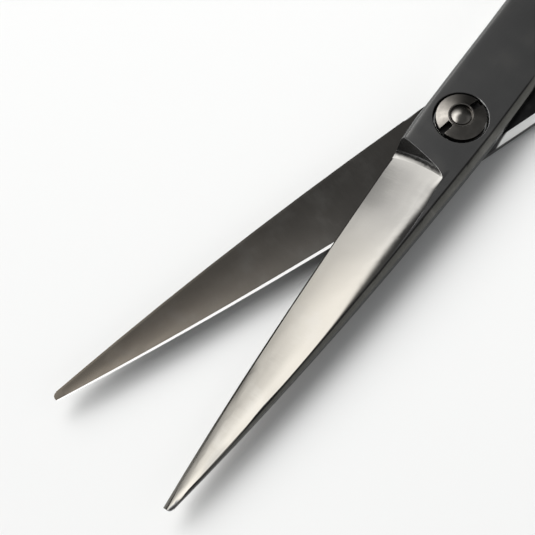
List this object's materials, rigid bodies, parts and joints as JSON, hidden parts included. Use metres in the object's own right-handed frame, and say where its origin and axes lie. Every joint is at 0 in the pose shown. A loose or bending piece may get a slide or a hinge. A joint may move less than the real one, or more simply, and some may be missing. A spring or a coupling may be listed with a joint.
{
  "type": "hair cutting shears",
  "caption": "Right-handed hair cutting shears with convex blades, a slotted tension nut over a ball thrust pivot, offset finger rings with soft liners, a finger rest and a closing bumper.",
  "frame": {"origin": "where the pivot axis meets the flat outer face of the finger member, the face that lies on a bench", "axes": "+Z along the pivot axis to the tension nut; +X to the tips, along the bisector of the blades' rest opening; +Y completes the frame, and the finger ring is on its side"},
  "size_m": [0.1728, 0.0954, 0.008],
  "materials": {
    "blade_steel": "dark satin coating, bright ground bevel and honed edge",
    "pivot_steel": "dark polished coating",
    "spring_steel": "rolled spring steel",
    "bearing_steel": "ground and polished",
    "bronze": "machined bronze",
    "glide_plastic": "natural fluoroplastic",
    "rest_steel": "dark satin coating",
    "bumper_rubber": "moulded matt rubber",
    "liner_rubber": "moulded matt silicone rubber"
  },
  "bodies": {
    "finger_member": {"finger_blade": "blade_steel", "pivot_stud": "pivot_steel", "glide_washer": "glide_plastic", "upper_race": "bearing_steel", "wave_spring": "spring_steel", "finger_ring_insert": "liner_rubber", "finger_rest": "rest_steel", "bumper_pin": "rest_steel", "bumper_pad": "bumper_rubber"},
    "thumb_member": {"thumb_blade": "blade_steel", "pivot_bush": "bronze", "lower_race": "bearing_steel", "thumb_ring_insert": "liner_rubber"},
    "ball_train": {"ball_cage": "bronze", "bearing_balls": "bearing_steel"},
    "click_plate": {"click_washer": "spring_steel"},
    "nut": {"tension_nut": "pivot_steel"}
  },
  "joints": [
    {"name": "blade_opening", "type": "hinge", "parent": "finger_member", "child": "thumb_member", "pos_m": [0, 0, 0.0034], "axis": [0, 0, 1], "range_deg": [-18.14, 61.86]},
    {"name": "ball_roll", "type": "hinge", "parent": "finger_member", "child": "ball_train", "pos_m": [0, 0, 0.0034], "axis": [0, 0, 1], "range_deg": [-9.1, 31]},
    {"name": "tension_travel", "type": "slide", "parent": "finger_member", "child": "click_plate", "axis": [0, 0, 1], "range_m": [-0.0000875, 0.0000875], "deforming": ["wave_spring"]},
    {"name": "tension_turn", "type": "hinge", "parent": "click_plate", "child": "nut", "pos_m": [0, 0, 0.0034], "axis": [0, 0, 1], "range_deg": [-91.5, 91.5]}
  ],
  "couplings": [
    {"joint": "ball_roll", "follows": "blade_opening", "ratio": 0.5},
    {"joint": "tension_turn", "follows": "tension_travel", "rad_per_m": 17952}
  ]
}
